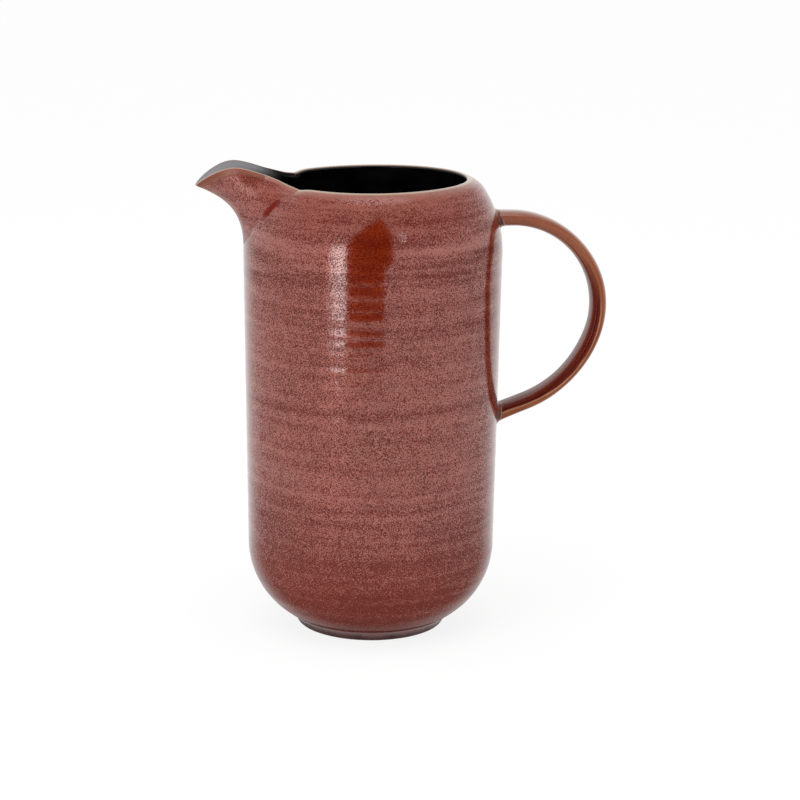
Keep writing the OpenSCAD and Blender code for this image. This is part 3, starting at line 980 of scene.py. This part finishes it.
def handle_glaze(name):
    """Thin rusty glaze, pulled in streaks along the strap, with dark red where it ran thick."""
    s = Shade(name)
    over, side, along = (s.attribute(key) for key in ("over", "side", "along"))
    streak = s.noise(1.0, 3.0, 0.6, s.stretched(s.attribute("strap", "Vector"), 0.05, 1.1, 0.0))
    grain = s.noise(1 / (STRAP_FLECK_SIZE_MM * MM), 2.0, 0.6)
    cloud = s.noise(60, 3.0, 0.55)
    lower = s.ramp(along, 0.22, 0.5)
    # The line along which the thick red of the inner part breaks to rust on the outer face
    break_at = s.total(over, (s.centred(streak), 0.25))
    break_at = s.math("SUBTRACT", break_at, s.ramp(along, 0.3, 0.62, -0.2, -0.06))
    break_at = s.math("ADD", break_at, s.ramp(along, 0.7, 0.98, 0.0, 0.22))
    thick = s.product(lower, s.math("SUBTRACT", 1.0, s.ramp(break_at, 0.1, 0.22)))
    thick = s.largest(thick, s.ramp(streak, 0.62, 0.75, 0.0, 0.6))
    rust = s.mix(s.ramp(streak, 0.35, 0.65), STRAP_RUST, STRAP_TAN)
    rust = s.mix(s.ramp(cloud, 0.4, 0.65, 0.0, 0.5), rust, STRAP_BROWN)
    red = s.mix(s.ramp(streak, 0.4, 0.6), STRAP_DARK, STRAP_RED)
    # A pale line in the lower half where the red breaks to rust: partly thin glaze over the edge, partly
    # a painted highlight of the rounded edge
    edge = s.product(
        s.ramp(break_at, 0.12, 0.18),
        s.ramp(break_at, 0.3, 0.22),
        s.ramp(along, 0.42, 0.55),
        s.ramp(side, 0.5, 0.7),
        0.8,
    )
    # Painted reflection: the inner face of the lower strap is painted paler, for the white surroundings
    # it catches at a grazing angle
    inner_sheen = s.product(s.ramp(over, -0.45, -0.75, 0.0, 0.7), lower)
    fleck = s.ramp(s.total(grain, (s.centred(cloud), 0.3)), 0.56, 0.66)
    colour = s.mix(thick, rust, red)
    colour = s.mix(edge, colour, STRAP_EDGE_BREAK_AND_HIGHLIGHT)
    colour = s.mix(inner_sheen, colour, PAINTED_STRAP_INNER_SHEEN)
    colour = s.mix(s.product(fleck, 0.45), colour, TAN_FLECK)
    skin = s.bump(streak, 0.05, s.bump(s.noise(380, 2.0, 0.5), 0.03))
    s.set(Base_Color=colour, Metallic=s.product(fleck, 0.3), Roughness=0.34)
    s.set(Specular_IOR_Level=0.0, Normal=skin)
    middle = s.product(s.ramp(over, -0.75, -0.4), s.ramp(over, 0.85, 0.35))
    on_faces = s.ramp(over, -0.6, 0.0, 0.62, 1.0)
    on_side = s.ramp(along, 0.2, 0.5, 0.24, 0.08)
    weight = s.math("MULTIPLY_ADD", middle, s.math("SUBTRACT", on_side, on_faces), on_faces)
    s.coat(0.1, STRAP_COAT_IOR, weight, skin)
    return s.material


def fillet_glaze(name):
    """Pooled dark glaze in the hollow of the collar, pale where it breaks over the edge."""
    s = Shade(name)
    collar, around = s.attribute("collar"), s.attribute("around")
    cloud = s.noise(420, 3.0, 0.6)
    grain = s.noise(1100, 2.0, 0.6)
    edge = s.largest(s.ramp(collar, 0.75, 1.0), s.ramp(collar, 0.22, 0.0))
    edge = s.ramp(s.total(edge, (s.centred(cloud), 0.9)), 0.5, 0.9)
    spot = s.product(s.ramp(around, 0.82, 0.97), s.ramp(cloud, 0.42, 0.6))
    glass = s.mix(s.ramp(cloud, 0.4, 0.62), COLLAR_DARK, COLLAR_RED)
    glass = s.mix(spot, glass, COLLAR_SPOT)
    colour = s.mix(edge, glass, COLLAR_EDGE)
    colour = s.mix(s.ramp(grain, 0.56, 0.66, 0.0, 0.4), colour, TAN_FLECK)
    skin = s.bump(cloud, 0.06)
    s.set(Base_Color=colour, Roughness=s.ramp(cloud, 0.3, 0.7, 0.28, 0.4))
    s.set(Specular_IOR_Level=0.2, Normal=skin)
    s.coat(0.12, COLLAR_COAT_IOR, 0.45, skin)
    return s.material


def liner_glaze(name):
    """Black gloss with a faint unevenness."""
    s = Shade(name)
    cloud = s.noise(120, 3.0, 0.55)
    colour = s.mix(s.ramp(cloud, 0.35, 0.7), LINER_BLACK, LINER_GREY)
    s.set(Base_Color=colour, Roughness=s.ramp(cloud, 0.3, 0.7, 0.16, 0.24))
    s.set(Specular_IOR_Level=0.45, Normal=s.bump(s.noise(300, 2.0, 0.5), 0.03))
    return s.material


def bare_foot(name):
    """Dark fired stoneware with fine grit, under a thin glaze toward its top."""
    s = Shade(name)
    grit = s.noise(1500, 3.0, 0.65)
    cloud = s.noise(90, 3.0, 0.55)
    up = s.total(s.height(), (s.centred(cloud), 0.004))
    colour = s.mix(s.ramp(cloud, 0.35, 0.65), FOOT_DARK, FOOT_BROWN)
    colour = s.mix(s.ramp(up, *FOOT_GLAZE_HEIGHTS), colour, FOOT_GLAZE)
    colour = s.mix(s.ramp(grit, 0.56, 0.68, 0.0, 0.3), colour, GRIT_PALE)
    colour = s.mix(s.ramp(grit, 0.42, 0.34, 0.0, 0.5), colour, GRIT_DARK)
    s.set(Base_Color=colour, Roughness=s.ramp(grit, 0.3, 0.7, 0.5, 0.65))
    s.set(Specular_IOR_Level=0.15, Normal=s.bump(grit, 0.04))
    s.coat(0.2, FOOT_COAT_IOR, s.ramp(up, 0.0012, 0.0038, 0.05, 0.75))
    return s.material


make_body(red_glaze("speckled_red_glaze", coat_roughness=0.13, fleck_metal=0.4, high_streaks=0.42))
make_spout(red_glaze("spout_glaze", coat_roughness=0.38, fleck_metal=0.2, high_streaks=0.2))
make_liner(liner_glaze("black_liner"))
make_handle(handle_glaze("handle_glaze"))
slip = fillet_glaze("fillet_glaze")
root_point, root_way = [root_wall, handle_z], np.array([1.0, 0.0])
tail_point = tail_top + tail_way * tail_wall
make_fillet("upper_collar", "upper_handle_fillet", root_point, root_way, True, slip)
make_fillet("lower_collar", "lower_handle_fillet", tail_point, tail_way, False, slip)
make_foot(bare_foot("dark_foot"))


# How far the camera stands round the jug toward the spout
CAMERA_TURN = math.radians(5.0)


# Stage: pale floor, white surroundings, soft lamps and cards that only reflections see
def seen_directly(tree):
    """1 for what the camera sees, itself, in gloss or through glass, and 0 for what lights the jug."""
    path = tree.nodes.new("ShaderNodeLightPath")
    seen = path.outputs["Is Camera Ray"]
    for ray in ("Is Glossy Ray", "Is Transmission Ray"):
        seen = calculate(tree, "MAXIMUM", seen, path.outputs[ray])
    return seen


def stage_material(name):
    """A material with an empty node tree, and the socket that takes its shader."""
    made = bpy.data.materials.new(name)
    made.use_nodes = True
    tree = made.node_tree
    tree.nodes.clear()
    return made, tree, tree.nodes.new("ShaderNodeOutputMaterial").inputs[0]


def plain_material(name, colour, strength, glow_share, only_seen=False):
    """Matt paint that is partly its own light, for what stands round the jug."""
    made, tree, surface = stage_material(name)
    matt = tree.nodes.new("ShaderNodeBsdfDiffuse")
    glow = tree.nodes.new("ShaderNodeEmission")
    for shader in (matt, glow):
        shader.inputs["Color"].default_value = (*colour, 1)
    glow.inputs["Strength"].default_value = strength
    if only_seen:
        glow_share = calculate(tree, "MULTIPLY", seen_directly(tree), glow_share)
    mix = tree.nodes.new("ShaderNodeMixShader")
    for socket, value in zip(mix.inputs, (glow_share, matt.outputs[0], glow.outputs[0])):
        put(tree, socket, value)
    tree.links.new(mix.outputs[0], surface)
    return made


def fading_white(name, strength):
    """Light that fades to white walls toward the left and the top of its card."""
    made, tree, surface = stage_material(name)
    glow = tree.nodes.new("ShaderNodeEmission")
    split = tree.nodes.new("ShaderNodeSeparateXYZ")
    tree.links.new(tree.nodes.new("ShaderNodeTexCoord").outputs["Generated"], split.inputs[0])
    across = map_range(tree, split.outputs[0], (0.0, 0.55))
    above = map_range(tree, split.outputs[2], (1.0, 0.6))
    level = map_range(tree, calculate(tree, "MULTIPLY", across, above), to_ends=(1.0, strength))
    tree.links.new(level, glow.inputs["Strength"])
    tree.links.new(glow.outputs[0], surface)
    return made


def card(name, middle, across, up, outline, material, glossy_only=True):
    """Flat card at a place, with an outline in steps of two directions."""
    middle, across, up = (np.array(v, float) for v in (middle, across, up))
    corners = [middle + x * across + z * up for x, z in outline]
    mesh = bpy.data.meshes.new(name)
    mesh.from_pydata([tuple(c) for c in corners], [], [tuple(range(len(corners)))])
    mesh.materials.append(material)
    made = bpy.data.objects.new(name, mesh)
    scene.collection.objects.link(made)
    if glossy_only:
        made.visible_camera = False
        made.visible_diffuse = False
        made.visible_shadow = False
        made.visible_transmission = False
    return made


# Distance of the upright cards from the jug, and the shapes of the cards, in metres
CARD_DISTANCE = 0.66
FLAG = ((-0.232, 0), (0.15, 0), (0.15, 0.12), (0.24, 0.2), (0.24, 0.56), (0.12, 0.9), (-0.232, 0.42))
STRIP = ((-0.09, 0), (0.105, 0), (0.105, 0.46), (-0.09, 0.46))
SMALL = ((-0.03, 0.42), (0.04, 0.42), (0.04, 0.54), (-0.03, 0.54))
SQUARE = ((-1, -1), (1, -1), (1, 1), (-1, 1))
FLOOR_REACH = 14
PALE = (0.94, 0.94, 0.94)
BLACK = (0.01, 0.01, 0.01)
WHITE = (1, 1, 1)


def facing_card(name, azimuth, outline, material):
    """Upright card at an azimuth from the camera's side, positive to the right."""
    a = math.radians(azimuth) - CAMERA_TURN
    middle = (CARD_DISTANCE * math.sin(a), -CARD_DISTANCE * math.cos(a), 0)
    return card(name, middle, (math.cos(a), math.sin(a), 0), (0, 0, 1), outline, material)


floor_paint = plain_material("floor_paint", PALE, strength=1.1, glow_share=0.82, only_seen=True)
card("floor", (0, 0, 0), (FLOOR_REACH, 0, 0), (0, FLOOR_REACH, 0), SQUARE, floor_paint, glossy_only=False)
flag_black = plain_material("flag_black", BLACK, strength=0.0, glow_share=1.0)
facing_card("dark_flag", -2, FLAG, flag_black)
facing_card("strip_left", -31, STRIP, fading_white("strip_white", strength=4.2))
small_white = plain_material("small_white", WHITE, strength=2.2, glow_share=1.0)
facing_card("small_right", 27, SMALL, small_white)


def area_lamp(name, place_at, look_at, size, watts):
    """Soft lamp that lights the jug and isn't seen in gloss."""
    data = bpy.data.lights.new(name, "AREA")
    data.shape = "RECTANGLE"
    data.size, data.size_y = size
    data.energy = watts
    made = bpy.data.objects.new(name, data)
    made.location = place_at
    made.rotation_mode = "QUATERNION"
    made.rotation_quaternion = (Vector(look_at) - Vector(place_at)).to_track_quat("-Z", "Y")
    made.visible_glossy = False
    scene.collection.objects.link(made)
    return made


area_lamp("overhead", (-0.1, -0.25, 1.2), (0, 0, 0.15), (0.8, 0.8), 3.0)
area_lamp("front_left", (-0.9, -1.0, 0.8), (0, 0, 0.1), (0.7, 0.9), 4.0)

# White walls that dim upward, and a ceiling with a bright middle; the jug is lit by an even level
WORLD_LIGHT = 0.8
world = bpy.data.worlds.new("studio")
world.use_nodes = True
scene.world = world
tree = world.node_tree
sky = tree.nodes["Background"]
sky.inputs["Color"].default_value = (1, 1, 1, 1)
direction = tree.nodes.new("ShaderNodeSeparateXYZ")
tree.links.new(tree.nodes.new("ShaderNodeTexCoord").outputs["Generated"], direction.inputs[0])
walls = map_range(tree, direction.outputs[2], (0.2, 0.55), (1.0, 0.72), "SMOOTHSTEP")
ceiling = map_range(tree, direction.outputs[2], (0.9, 1.0), (0.0, 0.9), "SMOOTHSTEP")
around = calculate(tree, "ADD", walls, ceiling)
level = map_range(tree, seen_directly(tree), to_ends=(WORLD_LIGHT, around))
tree.links.new(level, sky.inputs["Strength"])

# Camera at the photograph's viewing angle, with its slight roll
CAMERA_AIM = (0.0133, 0.1081)
CAMERA_DISTANCE = 1.2
CAMERA_RISE = math.radians(13.66)
CAMERA_ROLL = math.radians(0.6)
CAMERA_LENS = 114.55
right = np.array([math.cos(CAMERA_TURN), -math.sin(CAMERA_TURN), 0])
level_back = np.array([right[1], -right[0], 0])
upright = np.array([0, 0, 1.0])
back = math.cos(CAMERA_RISE) * level_back + math.sin(CAMERA_RISE) * upright
up = math.cos(CAMERA_RISE) * upright - math.sin(CAMERA_RISE) * level_back
rolled_right = math.cos(CAMERA_ROLL) * right + math.sin(CAMERA_ROLL) * up
rolled_up = math.cos(CAMERA_ROLL) * up - math.sin(CAMERA_ROLL) * right
camera_data = bpy.data.cameras.new("camera")
camera_data.sensor_width = 36.0
camera_data.lens = CAMERA_LENS
camera = bpy.data.objects.new("camera", camera_data)
scene.collection.objects.link(camera)
pose = np.eye(4)
pose[:3, 0], pose[:3, 1], pose[:3, 2] = rolled_right, rolled_up, back
pose[:3, 3] = CAMERA_AIM[0] * right + CAMERA_AIM[1] * upright + CAMERA_DISTANCE * back
camera.matrix_world = Matrix(pose.tolist())
scene.camera = camera

scene.view_settings.view_transform = "Standard"

bpy.context.view_layer.update()
